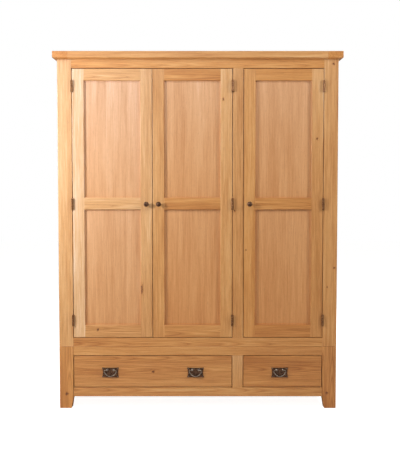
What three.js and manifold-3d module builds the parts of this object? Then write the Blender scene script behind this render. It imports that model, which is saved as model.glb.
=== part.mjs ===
// Triple wardrobe in two parts: a carcass with three framed doors on a base with two drawers.
// Millimetres, +Z up, front towards -Y. The origin is on the floor at the middle of the whole box.
import * as THREE from 'three';
import { mergeVertices } from 'three/addons/utils/BufferGeometryUtils.js';
import Module from 'manifold-3d';

const wasm = await Module();
wasm.setup();

// Overall
const HEIGHT = 1900;
const BODY_WIDTH = 1483;
const BODY_DEPTH = 570;
const TOUCH_GAP = 0.3;

// Top slab
const TOP_THICKNESS = 40;
const TOP_OVERHANG = 22;
const TOP_BEVEL_HEIGHT = 6;
const TOP_BEVEL_RUN = 19;

// Posts and front rails
const POST_WIDTH = 75;
const POST_DEPTH = 60;
const BACK_POST_WIDTH = 45;
const CENTRE_POST_WIDTH = 56;
const RAIL_THICKNESS = 26;
const UPPER_TOP_RAIL_HEIGHT = 47;
const UPPER_BOTTOM_RAIL_HEIGHT = 47;
const BASE_TOP_RAIL_HEIGHT = 49;
const BASE_BOTTOM_RAIL_HEIGHT = 49;
const DRAWER_OPENING_HEIGHT = 173;
const FOOT_HEIGHT = 64;
const FOOT_TAPER = 12;

// Boards
const SIDE_THICKNESS = 16;
const SIDE_RECESS = 6;
const BACK_THICKNESS = 8;
const FLOOR_THICKNESS = 16;
const PARTITION_THICKNESS = 18;

// Doors
const DOOR_THICKNESS = 24;
const DOOR_GAP = 3;
const STILE_WIDTH = 62;
const DOOR_TOP_RAIL_HEIGHT = 62;
const DOOR_MID_RAIL_HEIGHT = 64;
const DOOR_BOTTOM_RAIL_HEIGHT = 66;
const PANEL_RECESS = 12;
const PANEL_THICKNESS = 7;
const GROOVE_DEPTH = 9;

// Hinges
const HINGE_HEIGHT = 64;
const HINGE_INSET = 91;
const BARREL_RADIUS = 6;
const LEAF_DEPTH = 21;

// Knobs
const KNOB_PROJECTION = 30;
const KNOB_RADIUS = 13.5;
const KNOB_FOOT_RADIUS = 9;
const KNOB_NECK_RADIUS = 5.5;

// Drawers
const DRAWER_FRONT_THICKNESS = 24;
const DRAWER_SIDE_THICKNESS = 12;
const DRAWER_BOTTOM_THICKNESS = 6;
const DRAWER_HEADROOM = 41;
const DRAWER_BACK_SPACE = 67;
const DRAWER_SIDE_CLEARANCE = 4;
const DRAWER_LIFT = 3;
const RUNNER_HEIGHT = 18;
const RUNNER_CLEARANCE = 0.5;

// Drawer handles
const PLATE_WIDTH = 91;
const PLATE_HEIGHT = 53;
const PLATE_THICKNESS = 2.5;
const PLATE_WAIST = 5;
const BAIL_WIDTH = 69;
const BAIL_DROP = 34;
const BAIL_ROD_RADIUS = 2.5;
const BAIL_STAND_OFF = 9;
const BAIL_POST_SPACING = 34;
const BAIL_HOLE_CLEARANCE = 0.5;
const BAIL_POST_WALL = 1.5;
const BAIL_TUCK = 5;
const BAIL_AXIS_ABOVE_PLATE_CENTRE = 14;
const HANDLE_ABOVE_DRAWER_CENTRE = -5;
const WIDE_HANDLE_SPACING = 456;
const NARROW_HANDLE_OFFSET = -15;

// Hanging rails
const HANGING_RAIL_RADIUS = 12.5;
const HANGING_RAIL_DROP = 75;

// Levels and planes
const DEPTH = BODY_DEPTH + KNOB_PROJECTION;
const BACK_Y = DEPTH / 2;
const FRONT_Y = BACK_Y - BODY_DEPTH;
const HALF = BODY_WIDTH / 2;
const RAIL_X = HALF - POST_WIDTH;
const DRAWER_BOTTOM_Z = FOOT_HEIGHT + BASE_BOTTOM_RAIL_HEIGHT;
const DRAWER_TOP_Z = DRAWER_BOTTOM_Z + DRAWER_OPENING_HEIGHT;
const BASE_TOP_Z = DRAWER_TOP_Z + BASE_TOP_RAIL_HEIGHT;
const CARCASS_Z = BASE_TOP_Z + TOUCH_GAP;
const CARCASS_TOP_Z = HEIGHT - TOP_THICKNESS - TOUCH_GAP;
const DOORWAY_BOTTOM_Z = BASE_TOP_Z + UPPER_BOTTOM_RAIL_HEIGHT;
const DOORWAY_TOP_Z = HEIGHT - TOP_THICKNESS - UPPER_TOP_RAIL_HEIGHT;
const POST_BACK_Y = FRONT_Y + POST_DEPTH;
const BACK_POST_Y = BACK_Y - POST_DEPTH;
const BACK_POST_X = HALF - BACK_POST_WIDTH;
const SIDE_INNER_X = HALF - SIDE_RECESS - SIDE_THICKNESS;
const BACK_PANEL_Y = BACK_Y - BACK_THICKNESS - TOUCH_GAP;

// Three equal bays: the first two share one opening, the third is beyond the centre post
const BAY_WIDTH = (2 * RAIL_X - CENTRE_POST_WIDTH) / 3;
const MEETING_X = -RAIL_X + BAY_WIDTH;
const CENTRE_POST_LEFT = MEETING_X + BAY_WIDTH;
const CENTRE_POST_RIGHT = CENTRE_POST_LEFT + CENTRE_POST_WIDTH;
const CENTRE_POST_X = (CENTRE_POST_LEFT + CENTRE_POST_RIGHT) / 2;

const FINISHES = {
  oak: { color: 0xd9a66a, roughness: 0.5, metalness: 0 },
  panelOak: { color: 0xd8ab7c, roughness: 0.5, metalness: 0 },
  innerOak: { color: 0xcfa26e, roughness: 0.6, metalness: 0 },
  bronze: { color: 0x3b2c20, roughness: 0.45, metalness: 0.8 },
  pewter: { color: 0x8a7e70, roughness: 0.4, metalness: 0.9 },
  steel: { color: 0xb9bcc0, roughness: 0.3, metalness: 0.9 },
};

const wardrobe = new THREE.Group();

function add(name, geometry, finish) {
  const mesh = new THREE.Mesh(geometry, new THREE.MeshStandardMaterial(FINISHES[finish]));
  mesh.name = name;
  wardrobe.add(mesh);
}

// Low and high are opposite corners
function block(low, high) {
  const size = high.map((value, axis) => value - low[axis]);
  const geometry = new THREE.BoxGeometry(size[0], size[1], size[2]);
  return geometry.translate(...low.map((value, axis) => value + size[axis] / 2));
}

// Outline points (a, b) are extruded from start to end along the axis that they leave out
function prism(points, axis, start, end) {
  const shape = new THREE.Shape(points.map(([a, b]) => new THREE.Vector2(a, b)));
  const geometry = new THREE.ExtrudeGeometry(shape, { depth: end - start, bevelEnabled: false });
  geometry.translate(0, 0, start);
  if (axis === 'x') {
    geometry.rotateX(Math.PI / 2);
    geometry.rotateZ(Math.PI / 2);
  }
  if (axis === 'y') {
    geometry.rotateX(Math.PI / 2);
    geometry.scale(1, -1, 1);
    flip(geometry);
  }
  return geometry;
}

// Turns every face over, after a mirroring
function flip(geometry) {
  const index = geometry.index;
  if (index) {
    for (let i = 0; i < index.count; i += 3) {
      const first = index.getX(i);
      index.setX(i, index.getX(i + 2));
      index.setX(i + 2, first);
    }
    return;
  }
  const position = geometry.attributes.position;
  for (let i = 0; i < position.count; i += 3) {
    const first = new THREE.Vector3().fromBufferAttribute(position, i);
    const last = new THREE.Vector3().fromBufferAttribute(position, i + 2);
    position.setXYZ(i, last.x, last.y, last.z);
    position.setXYZ(i + 2, first.x, first.y, first.z);
  }
}

function solid(geometry) {
  const bare = geometry.clone();
  bare.deleteAttribute('normal');
  bare.deleteAttribute('uv');
  const merged = mergeVertices(bare, 1e-4);
  const vertProperties = new Float32Array(merged.attributes.position.array);
  const triVerts = new Uint32Array(merged.index.array);
  return new wasm.Manifold(new wasm.Mesh({ numProp: 3, vertProperties, triVerts }));
}

function fromSolid(body) {
  const mesh = body.getMesh();
  const geometry = new THREE.BufferGeometry();
  geometry.setAttribute('position', new THREE.BufferAttribute(mesh.vertProperties, 3));
  geometry.setIndex(new THREE.BufferAttribute(mesh.triVerts, 1));
  return geometry;
}

function join(...pieces) {
  return fromSolid(pieces.map(solid).reduce((whole, piece) => whole.add(piece)));
}

function cut(piece, ...tools) {
  return fromSolid(tools.map(solid).reduce((rest, tool) => rest.subtract(tool), solid(piece)));
}

function rod(radius, start, end, segments) {
  const middle = start.clone().add(end).multiplyScalar(0.5);
  const along = end.clone().sub(start);
  const geometry = new THREE.CylinderGeometry(radius, radius, along.length(), segments);
  const turn = new THREE.Quaternion();
  turn.setFromUnitVectors(new THREE.Vector3(0, 1, 0), along.normalize());
  return geometry.applyQuaternion(turn).translate(middle.x, middle.y, middle.z);
}

// ---- Top slab, with the under edge bevelled on the front and both ends
function topSlab() {
  const left = -HALF - TOP_OVERHANG;
  const front = FRONT_Y - TOP_OVERHANG;
  const under = HEIGHT - TOP_THICKNESS;
  const slab = block([left, front, under], [-left, BACK_Y, HEIGHT]);
  const run = TOP_BEVEL_RUN;
  const rise = TOP_BEVEL_HEIGHT;
  const spare = 5;
  const wedge = (edge) => [
    [edge - spare, under - spare * (rise / run)],
    [edge + run + spare, under - spare],
    [edge + run, under],
    [edge, under + rise],
    [edge - spare, under + rise],
  ];
  const end = prism(wedge(left), 'y', front - spare, BACK_Y + spare);
  const otherEnd = end.clone().scale(-1, 1, 1);
  flip(otherEnd);
  const frontWedge = prism(wedge(front), 'x', left - spare, -left + spare);
  return cut(slab, end, otherEnd, frontWedge);
}

// ---- Carcass
function carcassSide(side) {
  const outer = side * HALF;
  const span = (inner, from, to) => {
    const low = Math.min(outer, inner);
    const high = Math.max(outer, inner);
    return block([low, from, CARCASS_Z], [high, to, CARCASS_TOP_Z]);
  };
  const backPost = span(side * BACK_POST_X, BACK_POST_Y, BACK_Y);
  const xs = [side * (HALF - SIDE_RECESS), side * SIDE_INNER_X].sort((a, b) => a - b);
  const board = block(
    [xs[0], POST_BACK_Y + TOUCH_GAP, CARCASS_Z],
    [xs[1], BACK_POST_Y + POST_DEPTH / 2, CARCASS_TOP_Z],
  );
  return join(backPost, board);
}

function carcassPost(side) {
  const xs = [side * HALF, side * RAIL_X].sort((a, b) => a - b);
  return block([xs[0], FRONT_Y, CARCASS_Z], [xs[1], POST_BACK_Y, CARCASS_TOP_Z]);
}

function crossRail(bottom, top) {
  return block(
    [-RAIL_X + TOUCH_GAP, FRONT_Y, bottom],
    [RAIL_X - TOUCH_GAP, FRONT_Y + RAIL_THICKNESS, top],
  );
}

// The post between the second and third doors, with the partition board glued behind it
function centrePost() {
  const bottom = DOORWAY_BOTTOM_Z + TOUCH_GAP;
  const top = DOORWAY_TOP_Z - TOUCH_GAP;
  const half = PARTITION_THICKNESS / 2;
  const post = block([CENTRE_POST_LEFT, FRONT_Y, bottom], [CENTRE_POST_RIGHT, POST_BACK_Y, top]);
  const behindRail = FRONT_Y + RAIL_THICKNESS + TOUCH_GAP;
  const board = block(
    [CENTRE_POST_X - half, behindRail, bottom],
    [CENTRE_POST_X + half, BACK_PANEL_Y - TOUCH_GAP, CARCASS_TOP_Z],
  );
  return join(post, board);
}

// Floor board with its front rail glued on; it is notched round the front and back posts
function cupboardFloor() {
  const rail = crossRail(CARCASS_Z, DOORWAY_BOTTOM_Z);
  const boardTop = DOORWAY_BOTTOM_Z;
  const boardBottom = boardTop - FLOOR_THICKNESS;
  const x = SIDE_INNER_X - TOUCH_GAP;
  const board = block(
    [-x, POST_BACK_Y + TOUCH_GAP, boardBottom],
    [x, BACK_POST_Y - TOUCH_GAP, boardTop],
  );
  const frontX = RAIL_X - TOUCH_GAP;
  const front = block(
    [-frontX, FRONT_Y + RAIL_THICKNESS / 2, boardBottom],
    [frontX, POST_BACK_Y + 1, boardTop],
  );
  const backX = BACK_POST_X - TOUCH_GAP;
  const back = block(
    [-backX, BACK_POST_Y - 1, boardBottom],
    [backX, BACK_PANEL_Y - TOUCH_GAP, boardTop],
  );
  return join(rail, board, front, back);
}

function backPanel(bottom, top) {
  const x = BACK_POST_X - TOUCH_GAP;
  return block([-x, BACK_PANEL_Y, bottom], [x, BACK_PANEL_Y + BACK_THICKNESS, top]);
}

function hangingRail(left, right) {
  const z = CARCASS_TOP_Z - HANGING_RAIL_DROP;
  const y = (FRONT_Y + DOOR_THICKNESS + BACK_PANEL_Y) / 2;
  const start = new THREE.Vector3(left + TOUCH_GAP, y, z);
  const end = new THREE.Vector3(right - TOUCH_GAP, y, z);
  return rod(HANGING_RAIL_RADIUS, start, end, 20);
}

add('top_panel', topSlab(), 'oak');
for (const [name, side] of [['left', -1], ['right', 1]]) {
  add(`${name}_side`, carcassSide(side), 'oak');
  add(`${name}_front_post`, carcassPost(side), 'oak');
}
add('centre_post', centrePost(), 'oak');
add('upper_top_rail', crossRail(DOORWAY_TOP_Z, CARCASS_TOP_Z), 'oak');
add('cupboard_floor', cupboardFloor(), 'oak');
add('back_panel', backPanel(CARCASS_Z, CARCASS_TOP_Z), 'innerOak');
const partitionHalf = PARTITION_THICKNESS / 2;
add('wide_hanging_rail', hangingRail(-SIDE_INNER_X, CENTRE_POST_X - partitionHalf), 'steel');
add('narrow_hanging_rail', hangingRail(CENTRE_POST_X + partitionHalf, SIDE_INNER_X), 'steel');

// ---- Base
// A leg, square above and tapered on its inner side below the rail
function leg(side, innerX, frontY, backY) {
  const outer = side * HALF;
  const inner = side * innerX;
  const toe = side * (innerX + FOOT_TAPER);
  const outline = [[outer, 0], [toe, 0], [inner, FOOT_HEIGHT], [inner, BASE_TOP_Z], [outer, BASE_TOP_Z]];
  if (side > 0) {
    outline.reverse();
  }
  return prism(outline, 'y', frontY, backY);
}

// End of the base: both legs, the board between them and the drawer runner
function baseEnd(side) {
  const front = leg(side, RAIL_X, FRONT_Y, POST_BACK_Y);
  const back = leg(side, BACK_POST_X, BACK_POST_Y, BACK_Y);
  const xs = [side * (HALF - SIDE_RECESS), side * SIDE_INNER_X].sort((a, b) => a - b);
  const board = block([xs[0], POST_BACK_Y - 1, FOOT_HEIGHT], [xs[1], BACK_POST_Y + 1, BASE_TOP_Z]);
  const reach = RAIL_X - DRAWER_SIDE_CLEARANCE - DRAWER_SIDE_THICKNESS;
  const runnerXs = [side * (SIDE_INNER_X + 1), side * reach].sort((a, b) => a - b);
  const runnerTop = DRAWER_BOTTOM_Z + DRAWER_LIFT - RUNNER_CLEARANCE;
  const runner = block(
    [runnerXs[0], POST_BACK_Y - 1, runnerTop - RUNNER_HEIGHT],
    [runnerXs[1], BACK_POST_Y + 1, runnerTop],
  );
  return join(front, back, board, runner);
}

// Divider post with the board behind it and a runner on each side
function drawerDivider() {
  const bottom = DRAWER_BOTTOM_Z + TOUCH_GAP;
  const top = DRAWER_TOP_Z - TOUCH_GAP;
  const post = block([CENTRE_POST_LEFT, FRONT_Y, bottom], [CENTRE_POST_RIGHT, POST_BACK_Y, top]);
  const end = BACK_PANEL_Y - TOUCH_GAP;
  const runnerTop = DRAWER_BOTTOM_Z + DRAWER_LIFT - RUNNER_CLEARANCE;
  const runnerBottom = runnerTop - RUNNER_HEIGHT;
  const board = block(
    [CENTRE_POST_X - partitionHalf, FRONT_Y + RAIL_THICKNESS + TOUCH_GAP, runnerBottom],
    [CENTRE_POST_X + partitionHalf, end, top],
  );
  const reach = CENTRE_POST_WIDTH / 2 + DRAWER_SIDE_CLEARANCE + DRAWER_SIDE_THICKNESS;
  const runner = block(
    [CENTRE_POST_X - reach, POST_BACK_Y + TOUCH_GAP, runnerBottom],
    [CENTRE_POST_X + reach, end, runnerTop],
  );
  return join(post, board, runner);
}

for (const [name, side] of [['left', -1], ['right', 1]]) {
  add(`base_${name}_end`, baseEnd(side), 'oak');
}
add('base_top_rail', crossRail(DRAWER_TOP_Z, BASE_TOP_Z), 'oak');
add('base_bottom_rail', crossRail(FOOT_HEIGHT, DRAWER_BOTTOM_Z), 'oak');
add('drawer_divider', drawerDivider(), 'oak');
add('base_back', backPanel(FOOT_HEIGHT, BASE_TOP_Z), 'innerOak');

// ---- Doors
const DOOR_BOTTOM_Z = DOORWAY_BOTTOM_Z + DOOR_GAP;
const DOOR_TOP_Z = DOORWAY_TOP_Z - DOOR_GAP;
const PANEL_FRONT_Y = FRONT_Y + PANEL_RECESS;
const PANEL_BACK_Y = PANEL_FRONT_Y + PANEL_THICKNESS;
const PANEL_HEIGHT = (DOOR_TOP_Z - DOOR_BOTTOM_Z - DOOR_TOP_RAIL_HEIGHT - DOOR_MID_RAIL_HEIGHT
  - DOOR_BOTTOM_RAIL_HEIGHT) / 2;
const DOOR_BACK_Y = FRONT_Y + DOOR_THICKNESS;
const HINGE_ZS = [
  DOOR_TOP_Z - HINGE_INSET,
  (DOOR_TOP_Z + DOOR_BOTTOM_Z) / 2,
  DOOR_BOTTOM_Z + HINGE_INSET,
];
const LEAF_THICKNESS = DOOR_GAP - 2 * TOUCH_GAP;
const HINGE_AXIS_Y = FRONT_Y - BARREL_RADIUS - TOUCH_GAP;

// A door member in section: across runs from 0 to width, with a groove at each edge that asks for one
function grooved(width, lowGroove, highGroove) {
  const near = PANEL_FRONT_Y - TOUCH_GAP;
  const far = PANEL_BACK_Y + TOUCH_GAP;
  const points = [[0, FRONT_Y], [width, FRONT_Y]];
  if (highGroove) {
    const floor = width - GROOVE_DEPTH;
    points.push([width, near], [floor, near], [floor, far], [width, far]);
  }
  points.push([width, DOOR_BACK_Y], [0, DOOR_BACK_Y]);
  if (lowGroove) {
    points.push([0, far], [GROOVE_DEPTH, far], [GROOVE_DEPTH, near], [0, near]);
  }
  return points;
}

function stile(left, grooveOnRight) {
  const section = grooved(STILE_WIDTH, !grooveOnRight, grooveOnRight);
  const geometry = prism(section, 'z', DOOR_BOTTOM_Z, DOOR_TOP_Z);
  return geometry.translate(left, 0, 0);
}

// Rail between the stiles, with a stub tenon at each end in the stile's groove
function doorRail(left, right, bottom, height, lowGroove, highGroove) {
  const section = grooved(height, lowGroove, highGroove).map(([across, y]) => [y, across + bottom]);
  const body = prism(section, 'x', left + TOUCH_GAP, right - TOUCH_GAP);
  const inset = GROOVE_DEPTH - TOUCH_GAP;
  const tenon = block(
    [left - inset, PANEL_FRONT_Y, bottom + (lowGroove ? GROOVE_DEPTH : 0)],
    [right + inset, PANEL_BACK_Y, bottom + height - (highGroove ? GROOVE_DEPTH : 0)],
  );
  return join(body, tenon);
}

function doorPanel(left, right, bottom) {
  const inset = GROOVE_DEPTH - TOUCH_GAP;
  return block(
    [left - inset, PANEL_FRONT_Y, bottom - inset],
    [right + inset, PANEL_BACK_Y, bottom + PANEL_HEIGHT + inset],
  );
}

function knob(x, z) {
  const base = FRONT_Y - TOUCH_GAP;
  const reach = KNOB_PROJECTION - TOUCH_GAP;
  const profile = [
    [0, 0], [KNOB_FOOT_RADIUS, 0], [KNOB_FOOT_RADIUS, 0.1 * reach], [KNOB_NECK_RADIUS, 0.22 * reach],
    [KNOB_NECK_RADIUS, 0.42 * reach], [0.8 * KNOB_RADIUS, 0.55 * reach], [KNOB_RADIUS, 0.7 * reach],
    [0.9 * KNOB_RADIUS, 0.85 * reach], [0.55 * KNOB_RADIUS, 0.96 * reach], [0, reach],
  ];
  const geometry = new THREE.LatheGeometry(profile.map(([r, h]) => new THREE.Vector2(r, h)), 24);
  geometry.rotateX(Math.PI);
  return geometry.translate(x, base, z);
}

// Barrel with the leaf that is screwed to the post; the barrel stands just in front of the face
function hinge(x, z) {
  const half = LEAF_THICKNESS / 2;
  const spread = Math.asin(half / BARREL_RADIUS);
  const steps = 18;
  const points = [];
  for (let i = 0; i <= steps; i += 1) {
    const angle = Math.PI / 2 + spread + (2 * Math.PI - 2 * spread) * (i / steps);
    points.push([BARREL_RADIUS * Math.cos(angle), BARREL_RADIUS * Math.sin(angle)]);
  }
  points.push([half, BARREL_RADIUS + LEAF_DEPTH], [-half, BARREL_RADIUS + LEAF_DEPTH]);
  const geometry = prism(points, 'z', z - HINGE_HEIGHT / 2, z + HINGE_HEIGHT / 2);
  return geometry.translate(x, HINGE_AXIS_Y, 0);
}

// hingeSide is -1 for hinges on the left and 1 for the right
function door(name, left, right, hingeSide) {
  const innerLeft = left + STILE_WIDTH;
  const innerRight = right - STILE_WIDTH;
  const midZ = DOOR_BOTTOM_Z + DOOR_BOTTOM_RAIL_HEIGHT + PANEL_HEIGHT;
  const topZ = midZ + DOOR_MID_RAIL_HEIGHT + PANEL_HEIGHT;
  const rail = (bottom, height, low, high) => doorRail(innerLeft, innerRight, bottom, height, low, high);
  add(`${name}_left_stile`, stile(left, true), 'oak');
  add(`${name}_right_stile`, stile(innerRight, false), 'oak');
  add(`${name}_bottom_rail`, rail(DOOR_BOTTOM_Z, DOOR_BOTTOM_RAIL_HEIGHT, false, true), 'oak');
  add(`${name}_mid_rail`, rail(midZ, DOOR_MID_RAIL_HEIGHT, true, true), 'oak');
  add(`${name}_top_rail`, rail(topZ, DOOR_TOP_RAIL_HEIGHT, true, false), 'oak');
  const lowerZ = DOOR_BOTTOM_Z + DOOR_BOTTOM_RAIL_HEIGHT;
  add(`${name}_lower_panel`, doorPanel(innerLeft, innerRight, lowerZ), 'panelOak');
  add(`${name}_upper_panel`, doorPanel(innerLeft, innerRight, midZ + DOOR_MID_RAIL_HEIGHT), 'panelOak');
  const knobX = hingeSide < 0 ? right - STILE_WIDTH / 2 : left + STILE_WIDTH / 2;
  add(`${name}_knob`, knob(knobX, HINGE_ZS[1]), 'bronze');
  const edge = hingeSide < 0 ? left : right;
  const axisX = edge + hingeSide * (DOOR_GAP / 2);
  ['top', 'middle', 'bottom'].forEach((place, i) => {
    add(`${name}_${place}_hinge`, hinge(axisX, HINGE_ZS[i]), 'bronze');
  });
}

door('left_door', -RAIL_X + DOOR_GAP, MEETING_X - DOOR_GAP / 2, -1);
door('middle_door', MEETING_X + DOOR_GAP / 2, CENTRE_POST_LEFT - DOOR_GAP, 1);
door('right_door', CENTRE_POST_RIGHT + DOOR_GAP, RAIL_X - DOOR_GAP, 1);

// ---- Drawers
const DRAWER_FRONT_BOTTOM_Z = DRAWER_BOTTOM_Z + DOOR_GAP;
const DRAWER_FRONT_TOP_Z = DRAWER_TOP_Z - DOOR_GAP;
const DRAWER_BACK_Y = FRONT_Y + DRAWER_FRONT_THICKNESS;
const HANDLE_Z = (DRAWER_BOTTOM_Z + DRAWER_TOP_Z) / 2 + HANDLE_ABOVE_DRAWER_CENTRE;

// Four sides and a bottom board let in a little above their lower edge
function drawerBox(left, right) {
  const bottom = DRAWER_BOTTOM_Z + DRAWER_LIFT;
  const top = DRAWER_TOP_Z - DRAWER_HEADROOM;
  const front = DRAWER_BACK_Y + TOUCH_GAP;
  const back = BACK_PANEL_Y - DRAWER_BACK_SPACE;
  const wall = DRAWER_SIDE_THICKNESS;
  const outer = block([left, front, bottom], [right, back, top]);
  const within = (low, high) => block(
    [left + wall, front + wall, low],
    [right - wall, back - wall, high],
  );
  const hollow = within(bottom + 2 * DRAWER_BOTTOM_THICKNESS, top + 1);
  const under = within(bottom - 1, bottom + DRAWER_BOTTOM_THICKNESS);
  return cut(outer, hollow, under);
}

// Plate outline with hollow sides, so that the corners flare
function plateOutline() {
  const halfWidth = PLATE_WIDTH / 2;
  const halfHeight = PLATE_HEIGHT / 2;
  const steps = 8;
  const points = [];
  for (let i = 0; i < steps; i += 1) {
    const z = -halfHeight + (PLATE_HEIGHT * i) / steps;
    points.push([halfWidth - PLATE_WAIST * (1 - (z / halfHeight) ** 2), z]);
  }
  for (let i = 0; i < steps; i += 1) {
    const z = halfHeight - (PLATE_HEIGHT * i) / steps;
    points.push([-halfWidth + PLATE_WAIST * (1 - (z / halfHeight) ** 2), z]);
  }
  return points;
}

const BAIL_HOLE_RADIUS = BAIL_ROD_RADIUS + BAIL_HOLE_CLEARANCE;
const BAIL_POST_RADIUS = BAIL_HOLE_RADIUS + BAIL_POST_WALL;
const BAIL_AXIS_Y = FRONT_Y - TOUCH_GAP - PLATE_THICKNESS - BAIL_STAND_OFF;
const BAIL_AXIS_Z = HANDLE_Z + BAIL_AXIS_ABOVE_PLATE_CENTRE;
const POST_REACH = BAIL_STAND_OFF + BAIL_POST_RADIUS;

function handlePlate(x) {
  const back = FRONT_Y - TOUCH_GAP;
  const front = back - PLATE_THICKNESS;
  const outline = plateOutline().map(([across, z]) => [x + across, HANDLE_Z + z]);
  const plate = prism(outline, 'y', front, back);
  const posts = [-1, 1].map((side) => {
    const postX = x + (side * BAIL_POST_SPACING) / 2;
    const start = new THREE.Vector3(postX, front + PLATE_THICKNESS / 2, BAIL_AXIS_Z);
    const end = new THREE.Vector3(postX, front - POST_REACH, BAIL_AXIS_Z);
    return rod(BAIL_POST_RADIUS, start, end, 16);
  });
  const reach = BAIL_POST_SPACING / 2 + BAIL_POST_RADIUS + 2;
  const holeStart = new THREE.Vector3(x - reach, BAIL_AXIS_Y, BAIL_AXIS_Z);
  const holeEnd = new THREE.Vector3(x + reach, BAIL_AXIS_Y, BAIL_AXIS_Z);
  return cut(join(plate, ...posts), rod(BAIL_HOLE_RADIUS, holeStart, holeEnd, 16));
}

// A loop that enters both posts from outside, bows out and hangs down
class BailCurve extends THREE.Curve {
  constructor(x) {
    super();
    this.x = x;
  }

  getPoint(t, target = new THREE.Vector3()) {
    const start = BAIL_POST_SPACING / 2 - BAIL_TUCK;
    const halfWidth = BAIL_WIDTH / 2 - BAIL_ROD_RADIUS;
    const shoulder = BAIL_POST_SPACING / 2 + BAIL_POST_RADIUS + BAIL_ROD_RADIUS;
    const bow = Math.sqrt((halfWidth - shoulder / 2) ** 2 - (shoulder / 2) ** 2);
    const side = t < 0.5 ? -1 : 1;
    const along = Math.abs(t - 0.5) * 2;
    const straight = 0.8;
    let across = 0;
    let drop = 0;
    if (along > straight) {
      const share = (along - straight) / (1 - straight);
      across = shoulder + (start - shoulder) * share;
    } else {
      const angle = (Math.PI * along) / straight;
      drop = (BAIL_DROP / 2) * (1 + Math.cos(angle));
      across = bow * Math.sin(angle) + (shoulder * (1 - Math.cos(angle))) / 2;
    }
    return target.set(this.x + side * across, BAIL_AXIS_Y, BAIL_AXIS_Z - drop);
  }
}

function bail(x) {
  const section = new THREE.Shape();
  section.absarc(0, 0, BAIL_ROD_RADIUS, 0, 2 * Math.PI, false);
  return new THREE.ExtrudeGeometry(section, {
    curveSegments: 4,
    steps: 48,
    extrudePath: new BailCurve(x),
    bevelEnabled: false,
  });
}

function drawer(name, left, right, handles) {
  const frontPanel = block(
    [left + DOOR_GAP, FRONT_Y, DRAWER_FRONT_BOTTOM_Z],
    [right - DOOR_GAP, DRAWER_BACK_Y, DRAWER_FRONT_TOP_Z],
  );
  add(`${name}_front`, frontPanel, 'oak');
  add(`${name}_box`, drawerBox(left + DRAWER_SIDE_CLEARANCE, right - DRAWER_SIDE_CLEARANCE), 'innerOak');
  for (const [place, x] of handles) {
    add(`${place}_handle_plate`, handlePlate(x), 'bronze');
    add(`${place}_handle_bail`, bail(x), 'pewter');
  }
}

const WIDE_X = (-RAIL_X + CENTRE_POST_LEFT) / 2;
const NARROW_X = (CENTRE_POST_RIGHT + RAIL_X) / 2;
drawer('wide_drawer', -RAIL_X, CENTRE_POST_LEFT, [
  ['wide_left', WIDE_X - WIDE_HANDLE_SPACING / 2],
  ['wide_right', WIDE_X + WIDE_HANDLE_SPACING / 2],
]);
drawer('narrow_drawer', CENTRE_POST_RIGHT, RAIL_X, [['narrow', NARROW_X + NARROW_HANDLE_OFFSET]]);

export default wardrobe;
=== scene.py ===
import math
import random

import bmesh
import bpy
from mathutils import Matrix, Vector


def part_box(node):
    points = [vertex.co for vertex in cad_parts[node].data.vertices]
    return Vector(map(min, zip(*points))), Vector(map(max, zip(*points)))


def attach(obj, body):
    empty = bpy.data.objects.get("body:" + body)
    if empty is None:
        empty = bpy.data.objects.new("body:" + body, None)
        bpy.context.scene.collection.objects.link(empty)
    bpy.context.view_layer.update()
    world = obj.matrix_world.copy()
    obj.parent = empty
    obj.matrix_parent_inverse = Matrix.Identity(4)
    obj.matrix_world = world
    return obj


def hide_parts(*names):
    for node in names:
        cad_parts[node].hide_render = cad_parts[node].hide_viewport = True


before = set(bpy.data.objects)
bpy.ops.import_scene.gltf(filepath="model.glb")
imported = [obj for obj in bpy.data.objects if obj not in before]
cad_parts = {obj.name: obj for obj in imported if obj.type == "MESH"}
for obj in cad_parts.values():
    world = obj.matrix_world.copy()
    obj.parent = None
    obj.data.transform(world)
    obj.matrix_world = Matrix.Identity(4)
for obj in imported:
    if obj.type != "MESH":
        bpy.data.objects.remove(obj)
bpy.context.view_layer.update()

MM = 0.001
X, Y, Z = 0, 1, 2
FRONT_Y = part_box("left_front_post")[0].y
BACK_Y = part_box("back_panel")[1].y
SHARP = math.radians(20)     # edges that turn by more than this are eased
TOUCHING = 1e-5              # points nearer than this lie on the same plane

# Timber and clearances that several parts share
BACK_POST_WIDTH = 45 * MM
BACK_POST_DEPTH = 60 * MM
END_RECESS = 6 * MM          # how far an end board sits back from the posts
END_THICKNESS = 16 * MM
DIVIDER_HALF = 9 * MM        # half the thickness of the boards that part the cupboards and drawers
FLOOR_THICKNESS = 16 * MM
RUNNER_DEPTH = 18 * MM
RUNNER_RISE = 2.5 * MM       # how far drawer runners stand above the bottom rail
JOINT_GAP = 0.2 * MM
FITTED_GAP = 0.3 * MM


# ---------------------------------------- small helpers

def linear(hex_colour):
    """An sRGB hex colour as linear RGBA."""
    channels = [int(hex_colour[i:i + 2], 16) / 255 for i in (1, 3, 5)]
    return [c / 12.92 if c <= 0.04045 else ((c + 0.055) / 1.055) ** 2.4 for c in channels] + [1.0]


def add_node(tree, kind, settings=None, **inputs):
    """Adds a node, gives it its settings, and fills its inputs with values or links."""
    made = tree.nodes.new("ShaderNode" + kind)
    for name, value in (settings or {}).items():
        setattr(made, name, value)
    for name, value in inputs.items():
        socket = made.inputs[int(name[1:])] if name[0] == "_" else made.inputs[name.replace("_", " ")]
        if isinstance(value, bpy.types.NodeSocket):
            tree.links.new(value, socket)
        else:
            socket.default_value = value
    return made


def math_node(tree, operation, first, second=0.0, third=0.0):
    """The result of one sum on values or links."""
    return add_node(tree, "Math", {"operation": operation}, _0=first, _1=second, _2=third).outputs[0]


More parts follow.
